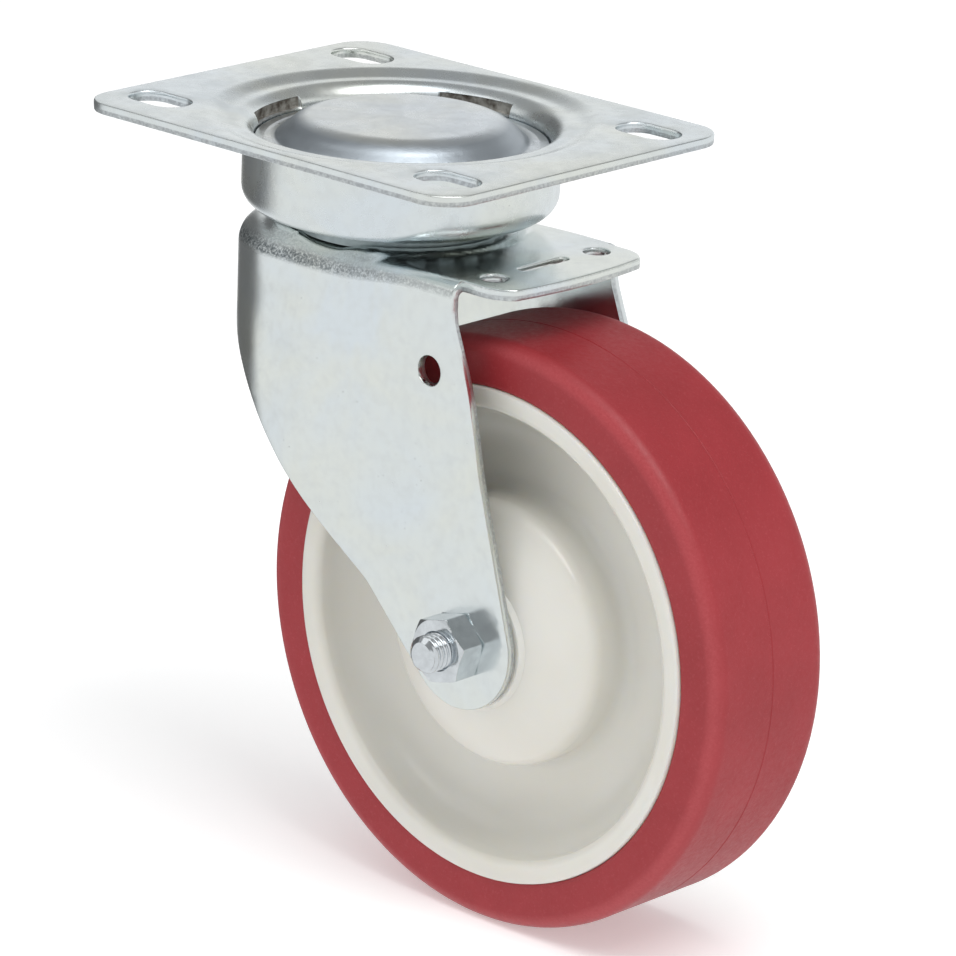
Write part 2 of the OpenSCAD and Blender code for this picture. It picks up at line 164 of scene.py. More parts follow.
def make(name, verts, faces, material, body, nodes, sharp=40, marks=None):
    """A piece from points in millimetres. marks gives its vertices' rim value."""
    me = bpy.data.meshes.new(name)
    me.from_pydata([(x * MM, y * MM, z * MM) for x, y, z in verts], [], faces)
    me.validate()
    me.polygons.foreach_set("use_smooth", [True] * len(me.polygons))
    me.set_sharp_from_angle(angle=math.radians(sharp))
    values = marks if marks is not None else [0.0] * len(verts)
    rim = me.attributes.new("rim", "FLOAT", "POINT")
    rim.data.foreach_set("value", [float(v) for v in values])
    me.materials.append(material)
    ob = bpy.data.objects.new(name, me)
    bpy.context.scene.collection.objects.link(ob)
    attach(ob, body)
    if nodes:
        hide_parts(*nodes)
    return ob


def fill(loops, step):
    """Triangles inside the first loop and outside the others, with points about step apart."""
    loops = [np.array(lp, float) for lp in loops]
    edge = np.vstack(loops)
    a = edge
    b = np.vstack([np.roll(lp, -1, axis=0) for lp in loops])
    lo, hi = edge.min(0), edge.max(0)
    rows = int((hi[1] - lo[1]) / (step * 0.866)) + 2
    cols = int((hi[0] - lo[0]) / step) + 2
    grid = np.array([(lo[0] + (i + 0.5 * (j % 2)) * step, lo[1] + j * step * 0.866)
                     for j in range(rows) for i in range(cols)])
    inside = []
    for g in grid:
        cross = ((a[:, 1] > g[1]) != (b[:, 1] > g[1]))
        x = a[cross, 0] + (g[1] - a[cross, 1]) * (b[cross, 0] - a[cross, 0]) / (b[cross, 1] - a[cross, 1])
        near = np.min(np.hypot(edge[:, 0] - g[0], edge[:, 1] - g[1]))
        inside.append((np.sum(x > g[0]) % 2 == 1) and near > 0.62 * step)
    pts = np.vstack([edge, grid[np.array(inside)]])
    edges, start = [], 0
    for lp in loops:
        n = len(lp)
        edges += [(start + i, start + (i + 1) % n) for i in range(n)]
        start += n
    v, _, f, source, _, _ = delaunay_2d_cdt([Vector(p) for p in pts], edges, [], 2, 1e-7, True)
    v = np.array([pts[k[0]] if k else (q[0], q[1]) for q, k in zip(v, source)])
    out = []
    for t in f:
        q = v[list(t)]
        g = q.mean(0)
        cross = ((a[:, 1] > g[1]) != (b[:, 1] > g[1]))
        x = a[cross, 0] + (g[1] - a[cross, 1]) * (b[cross, 0] - a[cross, 0]) / (b[cross, 1] - a[cross, 1])
        if np.sum(x > g[0]) % 2 == 0:                # in a hole
            continue
        area = (q[1, 0] - q[0, 0]) * (q[2, 1] - q[0, 1]) - (q[2, 0] - q[0, 0]) * (q[1, 1] - q[0, 1])
        out.append(tuple(t) if area > 0 else tuple(reversed(t)))
    return v, out


class Sheet:
    """A pressed sheet: charts of outer points with normals, joined where they meet, given a thickness and sheared rims."""

    def __init__(self, thick):
        self.t = thick
        self.p, self.n, self.key, self.faces = [], [], {}, []

    def point(self, p, n):
        k = (round(p[0], 3), round(p[1], 3), round(p[2], 3))
        if k not in self.key:
            self.key[k] = len(self.p)
            self.p.append(np.array(p, float))
            self.n.append(np.array(n, float))
        return self.key[k]

    def chart(self, uv, faces, surf):
        used = sorted({i for f in faces for i in f})
        at = {i: self.point(*surf(*uv[i])) for i in used}
        for f in faces:
            g = [at[i] for i in f]
            if len(set(g)) > 2:
                self.faces.append(tuple(g))

    def grid(self, us, vs, surf, loop=False):
        ids = [[self.point(*surf(u, v)) for v in vs] for u in us]
        n = len(us)
        for i in range(n if loop else n - 1):
            for j in range(len(vs) - 1):
                a, b = ids[i], ids[(i + 1) % n]
                g = [a[j], b[j], b[j + 1], a[j + 1]]
                g = [g[k] for k in range(4) if g[k] != g[k - 1]]
                if len(set(g)) > 2:
                    self.faces.append(tuple(g))

    def finish(self, name, material, body, nodes, rim, bump=None, dent=None, seed=0.0):
        n0 = len(self.p)
        p = np.array(self.p)
        nn = np.array(self.n)
        nn /= np.linalg.norm(nn, axis=1)[:, None]
        if bump:
            p = p + nn * np.array([bump(q) for q in p])[:, None]
        under = p - nn * self.t
        directed = {}
        for f in self.faces:
            for i in range(len(f)):
                directed[(f[i], f[(i + 1) % len(f)])] = True
        nxt = {a: b for (a, b) in directed if (b, a) not in directed}
        verts = [tuple(q) for q in p] + [tuple(q) for q in under]
        marks = [0.0] * (2 * n0)
        faces = list(self.faces) + [tuple(i + n0 for i in reversed(f)) for f in self.faces]
        left = set(nxt)
        while left:
            start = left.pop()
            loop = [start]
            cur = nxt[start]
            while cur != start:
                loop.append(cur)
                left.discard(cur)
                cur = nxt[cur]
            m = len(loop)
            lp = p[loop]
            tan = np.roll(lp, -1, axis=0) - np.roll(lp, 1, axis=0)
            tan /= np.linalg.norm(tan, axis=1)[:, None]
            out = np.cross(tan, nn[loop])
            out /= np.linalg.norm(out, axis=1)[:, None]
            rings = [list(loop)]
            for off, depth, mark, rough in rim:
                ring = []
                for i in range(m):
                    w = rough * (wob(lp[i], 1.3, seed) + 0.7 * wob(lp[i], 0.45, seed + 3))
                    q = lp[i] + out[i] * (off + w) - nn[loop[i]] * depth * self.t
                    ring.append(len(verts))
                    verts.append(tuple(q))
                    marks.append(mark)
                rings.append(ring)
            rings.append([i + n0 for i in loop])
            for a, b in zip(rings[:-1], rings[1:]):
                for i in range(m):
                    j = (i + 1) % m
                    faces.append((a[j], a[i], b[i], b[j]))
        if dent:
            for i in range(n0):
                verts[i], m = dent(verts[i])
                marks[i] = max(marks[i], m)
        return make(name, verts, faces, material, body, nodes, marks=marks)


SHEAR = [  # sheared edge: outward, depth share, mark, roughness
    (0.10, 0.01, 0.1, 0.0), (0.20, 0.045, 0.3, 0.0), (0.28, 0.11, 0.5, 0.01), (0.33, 0.22, 0.5, 0.02),
    (0.33, 0.50, 0.5, 0.02), (0.30, 0.58, 0.9, 0.05), (0.29, 0.78, 1.0, 0.06), (0.26, 0.94, 1.0, 0.05),
    (0.17, 1.0, 0.6, 0.03),
]
RIM_IN = 0.33


def lathe(name, profile, material, body, nodes, about=(0, 0, 0), along="Z", segs=192, closed=True,
          wave=None, sharp=35, marks=None):
    """Solid of revolution from radius and height points; closed joins the last point to the first."""
    verts, faces, mk = [], [], []
    rings = []
    for k, (r, h) in enumerate(profile):
        if r < 1e-6:
            rings.append([len(verts)])
            verts.append((0.0, 0.0, h))
            mk.append(marks[k] if marks else 0.0)
            continue
        ring = []
        for i in range(segs):
            a = 2 * math.pi * i / segs
            rr = r + (wave(a, r, h, k) if wave else 0.0)
            ring.append(len(verts))
            verts.append((rr * math.cos(a), rr * math.sin(a), h))
            mk.append(marks[k] if marks else 0.0)
        rings.append(ring)
    pairs = list(zip(rings[:-1], rings[1:]))
    if closed:
        pairs.append((rings[-1], rings[0]))
    for a, b in pairs:
        if len(a) == 1 and len(b) == 1:
            continue
        for i in range(segs):
            j = (i + 1) % segs
            if len(a) == 1:
                faces.append((a[0], b[i], b[j]))
            elif len(b) == 1:
                faces.append((a[j], a[i], b[0]))
            else:
                faces.append((a[j], a[i], b[i], b[j]))
    if along == "Y":
        verts = [(x + about[0], z + about[1], y + about[2]) for x, y, z in verts]
    else:
        verts = [(x + about[0], y + about[1], z + about[2]) for x, y, z in verts]
    ob = make(name, verts, faces, material, body, nodes, sharp=sharp, marks=mk)
    outward(ob)
    return ob


def outward(ob):
    """Turns all faces of a closed piece outward."""
    me = ob.data
    me.calc_loop_triangles()
    v = np.array([x.co for x in me.vertices])
    t = np.array([x.vertices for x in me.loop_triangles])
    vol = np.sum(np.einsum("ij,ij->i", v[t[:, 0]], np.cross(v[t[:, 1]], v[t[:, 2]])))
    if vol < 0:
        me.flip_normals()


# ------------------------------------------------------------------ materials


class Mat:
    """Short ways to add nodes to a material."""

    def __init__(self, name):
        self.m = bpy.data.materials.new(name)
        self.m.use_nodes = True
        self.nt = self.m.node_tree
        self.b = self.nt.nodes["Principled BSDF"]
        tc = self.nt.nodes.new("ShaderNodeTexCoord")
        mp = self.nt.nodes.new("ShaderNodeMapping")
        mp.inputs["Scale"].default_value = (1 / MM,) * 3
        self.nt.links.new(tc.outputs["Object"], mp.inputs["Vector"])
        self.co = mp.outputs["Vector"]

    def put(self, socket, value):
        if hasattr(value, "is_output"):
            self.nt.links.new(value, socket)
        elif value is not None:
            socket.default_value = value

    def noise(self, size, detail=3, rough=0.5, co=None, distort=0.0):
        n = self.nt.nodes.new("ShaderNodeTexNoise")
        n.inputs["Scale"].default_value = 1 / size
        n.inputs["Detail"].default_value = detail
        n.inputs["Roughness"].default_value = rough
        n.inputs["Distortion"].default_value = distort
        self.nt.links.new(co or self.co, n.inputs["Vector"])
        return n.outputs["Fac"]

    def cells(self, size):
        n = self.nt.nodes.new("ShaderNodeTexVoronoi")
        n.inputs["Scale"].default_value = 1 / size
        self.nt.links.new(self.co, n.inputs["Vector"])
        return n.outputs["Distance"]

    def remap(self, v, a, b, c=0.0, d=1.0):
        n = self.nt.nodes.new("ShaderNodeMapRange")
        self.put(n.inputs["Value"], v)
        for k, x in zip(("From Min", "From Max", "To Min", "To Max"), (a, b, c, d)):
            n.inputs[k].default_value = x
        return n.outputs["Result"]

    def math(self, op, a, b=None):
        n = self.nt.nodes.new("ShaderNodeMath")
        n.operation = op
        self.put(n.inputs[0], a)
        if b is not None:
            self.put(n.inputs[1], b)
        return n.outputs[0]

    def mix(self, f, a, b):
        n = self.nt.nodes.new("ShaderNodeMix")
        n.data_type = "RGBA"
        self.put(n.inputs[0], f)
        self.put(n.inputs[6], (*a, 1) if isinstance(a, tuple) else a)
        self.put(n.inputs[7], (*b, 1) if isinstance(b, tuple) else b)
        return n.outputs[2]

    def attr(self, name):
        n = self.nt.nodes.new("ShaderNodeAttribute")
        n.attribute_name = name
        return n.outputs["Fac"]

    def axis(self, which, co=None):
        n = self.nt.nodes.new("ShaderNodeSeparateXYZ")
        self.nt.links.new(co or self.co, n.inputs[0])
        return n.outputs[which]

    def level(self):
        """Upward part of the surface normal: 1 on a level top, 0 on an upright wall."""
        n = self.nt.nodes.new("ShaderNodeTexCoord")
        return self.axis("Z", n.outputs["Normal"])

    def bump(self, height, dist, strength=1.0):
        n = self.nt.nodes.new("ShaderNodeBump")
        n.inputs["Distance"].default_value = dist * MM
        n.inputs["Strength"].default_value = strength
        self.nt.links.new(height, n.inputs["Height"])
        self.nt.links.new(n.outputs[0], self.b.inputs["Normal"])

    def set(self, **kw):
        names = {"color": "Base Color", "rough": "Roughness", "metal": "Metallic"}
        for k, v in kw.items():
            s = self.b.inputs[names.get(k, k.replace("_", " "))]
            self.put(s, (*v, 1) if isinstance(v, tuple) and len(v) == 3 and s.type == "RGBA" else v)


def zinc(name, tint=(0.765, 0.795, 0.797), rough=(0.16, 0.26), grain=0.006, specks=0.5, well=False, bend=False, flank=False):
    """Zinc plated steel sheet: cool and warm passivation clouds, fine grain, dark pits, sheared rims; optional
    painted reflection on the bend, painted shade on the flank, painted shade with grease in the pockets.
    """
    m = Mat(name)
    cool = tuple(c * k for c, k in zip(tint, (0.965, 1.0, 1.035)))
    warm = tuple(c * k for c, k in zip(tint, (1.02, 1.015, 0.955)))
    cloud = m.remap(m.noise(34, 4, 0.55, distort=0.6), 0.38, 0.62)
    col = m.mix(cloud, cool, warm)
    mottle = m.noise(2.6, 5, 0.65)
    col = m.mix(m.remap(mottle, 0.45, 0.75, 0.0, 0.35), col, tuple(c * 0.86 for c in tint))
    pit = m.math("MULTIPLY", m.remap(m.cells(1.9), 0.05, 0.09, 1.0, 0.0), m.remap(m.noise(7, 2), 0.55, 0.62))
    col = m.mix(m.math("MULTIPLY", pit, specks), col, (0.16, 0.16, 0.17))
    rim = m.attr("rim")
    ragged = m.math("MULTIPLY", m.remap(rim, 0.5, 0.95), m.remap(m.noise(0.7, 4, 0.7), 0.35, 0.6, 0.35, 1.0))
    col = m.mix(m.math("MULTIPLY", ragged, 0.62), col, (0.30, 0.31, 0.33))
    r = m.remap(m.noise(9, 4, 0.6), 0.35, 0.65, rough[0], rough[1])
    r = m.math("ADD", r, m.remap(mottle, 0.4, 0.7, 0.0, 0.04))
    r = m.math("ADD", r, m.math("MULTIPLY", ragged, 0.25))
    metal = 1.0
    if bend:                                         # painted reflection: a dark streak along the outside of the upper bend, which is also a rougher band
        up = m.level()
        band = m.math("MULTIPLY", m.remap(up, 0.08, 0.26), m.remap(up, 0.72, 0.46))
        band = m.math("MULTIPLY", band, m.remap(m.axis("X"), 34, -6, 0.35, 1.0))
        band = m.math("MULTIPLY", band, m.remap(m.axis("Z"), -29.2, -28.2))
        bend_painted_reflection = m.math("MULTIPLY", band, m.remap(m.noise(0.55, 4, 0.75), 0.36, 0.56))
        col = m.mix(m.math("MULTIPLY", bend_painted_reflection, 0.85), col, (0.075, 0.095, 0.105))
        r = m.math("ADD", r, m.math("MULTIPLY", band, 0.22))
    if flank:                                        # painted shade: darker, bluer colour where the surface leans down the flank, also a little rougher
        flank_painted_shade = m.remap(m.level(), 0.985, 0.86)
        col = m.mix(flank_painted_shade, col, tuple(c * k for c, k in zip(tint, (0.60, 0.64, 0.68))))
        r = m.math("ADD", r, m.math("MULTIPLY", flank_painted_shade, 0.07))
    if well:                                         # pockets in the well's wall: dark brown that is partly grease and partly painted shade, less metallic and rougher
        pocket_grease_and_shade = m.remap(rim, 1.3, 2.2)
        grease_and_shade_tone = m.mix(m.remap(m.noise(2.4, 4, 0.65), 0.35, 0.65), (0.075, 0.058, 0.042), (0.40, 0.385, 0.35))
        col = m.mix(pocket_grease_and_shade, col, grease_and_shade_tone)
        metal = m.remap(pocket_grease_and_shade, 0.0, 1.0, 1.0, 0.55)
        r = m.math("ADD", r, m.math("MULTIPLY", pocket_grease_and_shade, 0.18))
    m.set(color=col, metal=metal, rough=r)
    fine = m.math("ADD", m.noise(0.32, 3, 0.6), m.math("MULTIPLY", m.noise(1.6, 2, 0.5), 1.4))
    fine = m.math("ADD", fine, m.math("MULTIPLY", m.math("MULTIPLY", ragged, m.noise(0.5, 4, 0.7)), 6.0))
    m.bump(fine, grain)
    return m.m


def plain_steel(name, tint, rough, grain=0.004):
    m = Mat(name)
    col = m.mix(m.remap(m.noise(3.0, 4, 0.6), 0.35, 0.65), tint, tuple(c * 0.85 for c in tint))
    m.set(color=col, metal=1.0, rough=m.remap(m.noise(1.4, 3, 0.6), 0.3, 0.7, rough * 0.8, rough * 1.25))
    m.bump(m.noise(0.25, 3, 0.6), grain)
    return m.m


zinc_plate = zinc("zinc_plate", rough=(0.20, 0.30), grain=0.011, well=True)
zinc_fork = zinc("zinc_fork", rough=(0.16, 0.24), grain=0.006, bend=True)
zinc_dome = zinc("zinc_dome", tint=(0.74, 0.765, 0.78), rough=(0.24, 0.33), grain=0.024, flank=True)
zinc_nut = plain_steel("zinc_nut", (0.70, 0.735, 0.76), 0.13)
race_mat = plain_steel("race_steel", (0.50, 0.50, 0.51), 0.3)
ball_mat = plain_steel("ball_steel", (0.75, 0.75, 0.77), 0.08, 0.001)
cage_mat = plain_steel("cage_steel", (0.30, 0.30, 0.31), 0.45)
# darkened teal-grey steel: partly grease, partly painted shade of the gap under the cup
grease_and_shade = plain_steel("grease_and_shade_steel", (0.32, 0.375, 0.385), 0.40)
rivet_mat = plain_steel("rivet_steel", (0.60, 0.62, 0.65), 0.35)


def seal_material():
    m = Mat("seal_rubber")
    m.set(color=m.mix(m.noise(1.2, 3), (0.020, 0.022, 0.022), (0.035, 0.036, 0.035)), rough=0.6)
    m.bump(m.noise(0.3, 3), 0.01)
    return m.m


def cap_material():
    m = Mat("cap_plastic")
    m.set(color=m.mix(m.noise(4, 3), (0.62, 0.62, 0.59), (0.68, 0.67, 0.64)), rough=0.42)
    m.bump(m.noise(0.4, 3), 0.006)
    return m.m


def nylon_material():
    """Natural moulded nylon: creamy white, a little translucent, semi-gloss."""
    m = Mat("nylon")
    cloud = m.remap(m.noise(22, 3, 0.5), 0.35, 0.65)
    col = m.mix(cloud, (0.705, 0.688, 0.630), (0.720, 0.708, 0.660))
    m.set(color=col, rough=m.remap(m.noise(5, 3, 0.5), 0.3, 0.7, 0.19, 0.23))
    m.b.inputs["Subsurface Weight"].default_value = 0.45
    m.b.inputs["Subsurface Radius"].default_value = (1.0, 0.8, 0.55)
    m.b.inputs["Subsurface Scale"].default_value = 0.004
    m.b.inputs["IOR"].default_value = 1.53
    m.bump(m.noise(1.1, 3, 0.5), 0.003)
    return m.m


def tyre_material():
    """Red polyurethane: satin, fine moulded texture, paler corners as a painted highlight."""
    m = Mat("polyurethane")
    cloud = m.remap(m.noise(16, 4, 0.6), 0.3, 0.7)
    col = m.mix(cloud, (0.300, 0.0195, 0.025), (0.342, 0.0245, 0.032))
    speck = m.remap(m.noise(0.55, 3, 0.7), 0.56, 0.72)
    col = m.mix(m.math("MULTIPLY", speck, 0.35), col, (0.47, 0.075, 0.085))
    # painted highlight: paler red where the rim marks lie, along the tyre's corners and by the rim
    corner = m.math("MULTIPLY", m.attr("rim"), m.remap(m.noise(0.6, 4, 0.7), 0.3, 0.7, 0.4, 1.0))
    col = m.mix(m.math("MULTIPLY", corner, 0.5), col, (0.52, 0.10, 0.11))
    m.set(color=col, rough=m.remap(m.noise(1.2, 4, 0.65), 0.3, 0.7, 0.40, 0.56))
    m.b.inputs["Specular IOR Level"].default_value = 0.42
    fine = m.math("ADD", m.noise(0.38, 4, 0.65), m.math("MULTIPLY", m.noise(2.2, 3, 0.5), 1.2))
    m.bump(fine, 0.035)
    return m.m


nylon = nylon_material()
tyre_red = tyre_material()
cap_mat = cap_material()
seal_mat = seal_material()

for node_name, mat in (
        ("upper_race", race_mat), ("upper_balls", ball_mat), ("upper_ball_cage", cage_mat),
        # the lower bearing parts carry that painted shade
        ("lower_balls", grease_and_shade), ("lower_ball_cage", grease_and_shade), ("lower_race", grease_and_shade),
        ("grease_seal", seal_mat), ("axle_tube", race_mat), ("roller_cage", cage_mat),
        ("bearing_rollers", ball_mat), ("bearing_sleeve", race_mat)):
    ob = frame["nodes"][node_name]
    ob.data.materials.clear()
    ob.data.materials.append(mat)

# ------------------------------------------------------------------ top plate with its cup


def top_plate():
    t = 2.2
    hx, hy, corner = plate_hi[0], plate_hi[1], 8.0
    cup_out = 33.0
    cup_in = cup_out - t
    floor_z = plate_lo[2] + t
    seam_r = 41.3
    segs = 480
    s = Sheet(t)

    outline = []
    for sx, sy, a in ((1, 1, 0), (-1, 1, 90), (-1, -1, 180), (1, -1, 270)):
        outline += arc((sx * (hx - corner), sy * (hy - corner)), corner - RIM_IN, a, a + 90, 16)
    loops = [resample(outline, 1.0, closed=True)]
    loops.append([(seam_r * math.cos(2 * math.pi * i / segs), seam_r * math.sin(2 * math.pi * i / segs))
                  for i in range(segs)])
    d = mounts["plate_holes"]["dims"]
    half = d["slot_length_mm"] / 2 - d["hole_r_mm"]
    for sx in (-1, 1):
        for sy in (-1, 1):
            cx, cy = sx * d["spacing_x_mm"] / 2, sy * d["spacing_y_mm"] / 2
            slot = arc((cx + half, cy), d["hole_r_mm"] + RIM_IN, -90, 90, 20)
            slot += arc((cx - half, cy), d["hole_r_mm"] + RIM_IN, 90, 270, 20)
            loops.append(resample(slot, 0.8, closed=True))
    uv, tris = fill(loops, 1.7)
    s.chart(uv, tris, lambda x, y: ((x, y, 0.0), (0, 0, 1)))

    # section of ring, lip, well and cup from the outside in
    lip = 4.0
    sec = []
    for i in range(15):
        r = seam_r + (cup_in + lip - seam_r) * i / 14
        sec.append((r, -1.2 * smooth(seam_r - 0.2, cup_in + lip + 1.0, r)))
    sec += arc((cup_in + lip, -1.2 - lip), lip, 90, 180, 22)[1:]
    sec += [(cup_in, z) for z in np.linspace(-5.6, floor_z + 2.3, 8)]
    sec += arc((cup_in - 2.3, floor_z + 2.3), 2.3, 0, -90, 7)[1:]
    sec += [(26.4, floor_z), (25.2, floor_z)]
    sec += spline([(24.4, floor_z), (23.6, floor_z + 0.3), (23.1, floor_z + 1.6), (22.7, floor_z + 2.7),
                   (21.9, floor_z + 3.0)], 4)
    sec += [(20.0, floor_z + 3.0), (18.0, floor_z + 3.0), (16.4 + RIM_IN, floor_z + 3.0)]
    sec = np.array(sec)
    tan = np.gradient(sec, axis=0)
    tan /= np.linalg.norm(tan, axis=1)[:, None]
    nor = np.stack([tan[:, 1], -tan[:, 0]], 1)
    nor[0] = (0, 1)

    def ring_point(u, v):
        a = 2 * math.pi * u / segs
        r, z = sec[v]
        nr, nz = nor[v]
        ca, sa = math.cos(a), math.sin(a)
        return (r * ca, r * sa, z), (nr * ca, nr * sa, nz)

    s.grid(range(segs), range(len(sec)), lambda u, v: ring_point(u, v), loop=True)

    def bump(q):
        flat = smooth(36, 44, math.hypot(q[0], q[1])) if q[2] > -3 else 0.0
        return 0.035 * flat * (wob(q, 17, 2.0) - 0.35) + 0.012 * wob(q, 6, 5.0)

    def dent(q):
        """The four pockets in the well wall, with torn edges; their mark of 3 sets where the pockets get painted
        shade and grease colour.
        """
        r = math.hypot(q[0], q[1])
        if not (-5.6 < q[2] < -2.0) or r > 33 or r < 29:
            return q, 0.0
        a = math.degrees(math.atan2(q[1], q[0]))
        off = ((a - 13.5 + 45) % 90) - 45
        ragged = 0.22 * wob(q, 1.1, 4.0)
        m = min(smooth(16.3, 15.7, abs(off) + 0.6 * ragged), smooth(-2.55, -2.8, q[2] + 0.5 * ragged),
                smooth(-5.15, -4.9, q[2] + 0.6 * ragged))
        if m <= 0:
            return q, 0.0
        rr = r + m * max(0.0, 32.1 + 0.12 * wob(q, 0.8, 9.0) - r)
        return (q[0] * rr / r, q[1] * rr / r, q[2]), 3.0 * m

    return s.finish("plate_sheet", zinc_plate, "plate", ["top_plate"], SHEAR, bump, dent, 1.0)


# ------------------------------------------------------------------ fork


def fork():
    t = 2.3
    top, hw = -23.0, fork_hi[1]
    back_x, back_r = fork_lo[0], 22.0
    bend, round_bend = 3.6, 6.4                       # upper bend at the legs and round the back
    xc = back_x + back_r
    flat_back = hw - back_r
    turn = back_r * math.pi / 2
    leg_x = 38.8
    end_c, end_r = (axle[0], axle[2]), 13.8
    to_x = xc - flat_back - turn                      # x on a side is s plus this
    s_front = leg_x - to_x - RIM_IN

    def plan(s, d):
        """Point and outward normal of the outline drawn in by d, at arc length s from the back."""
        a, sg = abs(s), (1 if s >= 0 else -1)
        if a < flat_back:
            return (back_x + d, s), (-1.0, 0.0)
        if a < flat_back + turn:
            p = (a - flat_back) / back_r
            return ((xc - (back_r - d) * math.cos(p), sg * (flat_back + (back_r - d) * math.sin(p))),
                    (-math.cos(p), sg * math.sin(p)))
        return (a + to_x, sg * (hw - d)), (0.0, float(sg))

    def bead(x, y):
        r = math.hypot(x, y)
        return 0.95 * smooth(21.4, 23.2, r) * smooth(27.6, 26.0, r)

    def belly(s, z):
        """The side's slight swell behind the leg's crease."""
        x = abs(s) + to_x
        u = 21.0 - x
        u = 0.5 * (u + math.sqrt(u * u + 1.2)) - 0.02
        rise = u * 0.058 * smooth(38, 6, u)
        rise += 0.55 * smooth(6, 22, u) * smooth(56, 24, u)
        rise += 0.10 * math.exp(-((x - 21.5) / 1.7) ** 2)
        rise *= smooth(wall_z, -36, z) * smooth(-97, -72, z)
        hollow = math.exp(-((x + 20) / 9) ** 2 - ((z + 38) / 5) ** 2)
        return rise - 0.30 * hollow * smooth(wall_z, -34, z)

    def bend_r(s):
        return bend + (round_bend - bend) * smooth(30, 2, abs(s) + to_x)

    def head(x, y):
        return (x, y, top), (0, 0, 1)

    def upper(s, q):
        """The bend for q from 0 to 1, then a short upright strip for q from 1 to 2."""
        r = bend_r(s)
        if q < 1:
            a = q * math.pi / 2
            (x, y), n = plan(s, r * (1 - math.sin(a)))
            sn, cs = math.sin(a), math.cos(a)
            return (x, y, top - r * (1 - cs)), (n[0] * sn, n[1] * sn, cs)
        return wall(s, top - r + (wall_z - top + r) * (q - 1))

    def wall(s, z):
        (x, y), n = plan(s, 0)
        b = belly(s, z)
        return (x + n[0] * b, y + n[1] * b, z), (n[0], n[1], 0.0)

    sh = Sheet(t)
    cols = resample([(-s_front, 0), (s_front, 0)], 0.9)[:, 0]

    # head and tongue
    seam = [plan(s, bend_r(s))[0] for s in cols]
    hold_x, tip_r, sweep = 51.8, 8.0, 120.0
    tw = 21.8 - RIM_IN

    def front_x(y):
        return hold_x - RIM_IN - sweep + math.sqrt(sweep ** 2 - y * y)

    side_path = [(leg_x - 0.1, tw + 0.10), (leg_x + 0.6, tw)]
    corner = [(x, y) for x, y in arc((hold_x - tip_r, 21.8 - tip_r), tip_r - RIM_IN, 90, 0, 18) if x < front_x(y)]
    front = [(front_x(y), y) for y in np.linspace(corner[-1][1] - 0.4, 0, 24)]
    half = resample(side_path + corner + front, 0.8)
    tongue = [tuple(p) for p in half] + [(x, -y) for x, y in reversed(half[:-1])]
    loop = [tuple(p) for p in seam] + tongue          # seam runs from -Y round the back to +Y
    loops = [loop]
    th = mounts["tongue_holes"]
    hx, hole_r = th["pos_m"][0] / MM, th["dims"]["hole_r_mm"] + RIM_IN
    for sg in (-1, 1):
        loops.append(resample(arc((hx, sg * th["dims"]["spacing_y_mm"] / 2), hole_r, 0, 360, 40)[:-1], 0.5, True))
    sl, sw = 7.0 - 1.3, 1.3 + RIM_IN
    slot = arc((hx - 0.7, sl), sw, 0, 180, 12) + arc((hx - 0.7, -sl), sw, 180, 360, 12)
    loops.append(resample(slot, 0.5, True))
    loops.append(resample(arc((0, 0), 12.0 + RIM_IN, 0, 360, 90)[:-1], 0.9, True))
    uv, tris = fill(loops, 0.8)
    sh.chart(uv, tris, head)

    # bend
    wall_z = top - round_bend - 0.1
    sh.grid(list(cols), list(np.linspace(0, 0.94, 12)) + [1.0, 1.34, 1.67, 2.0], upper)

    # wall: front edge, round leg end, rear edge, skirt
    edge = spline([(leg_x, wall_z), (39.2, -32.0), (40.5, -35.5), (42.4, -40.4), (44.3, -46.0),
                   (46.1, -53.3), (47.8, -61.6)], 8)
    a_in = touch(edge[-1], end_c, end_r, -1)
    skirt = spline([(back_x - 1, -44.6), (-31.5, -45.0), (-28.2, -46.6), (-25.4, -49.0), (-21.8, -53.0),
                    (-18.6, -57.4), (-14.9, -62.6), (-10.3, -68.4), (-4.9, -73.9), (6.7, -83.3), (17.8, -91.2)], 6)
    skirt_from = skirt[-1]
    skirt_xs, skirt_zs = [p[0] for p in skirt], [p[1] for p in skirt]
    a_out = touch(skirt_from, end_c, end_r, 1)
    ang0 = math.degrees(math.atan2(a_in[1] - end_c[1], a_in[0] - end_c[0]))
    ang1 = math.degrees(math.atan2(a_out[1] - end_c[1], a_out[0] - end_c[0])) - 360
    while ang1 > ang0:
        ang1 -= 360
    while ang1 < ang0 - 360:
        ang1 += 360
    path = edge + arc(end_c, end_r, ang0, ang1, 40) + [skirt_from]

    def skirt_z(x):
        return float(np.interp(x, skirt_xs, skirt_zs))

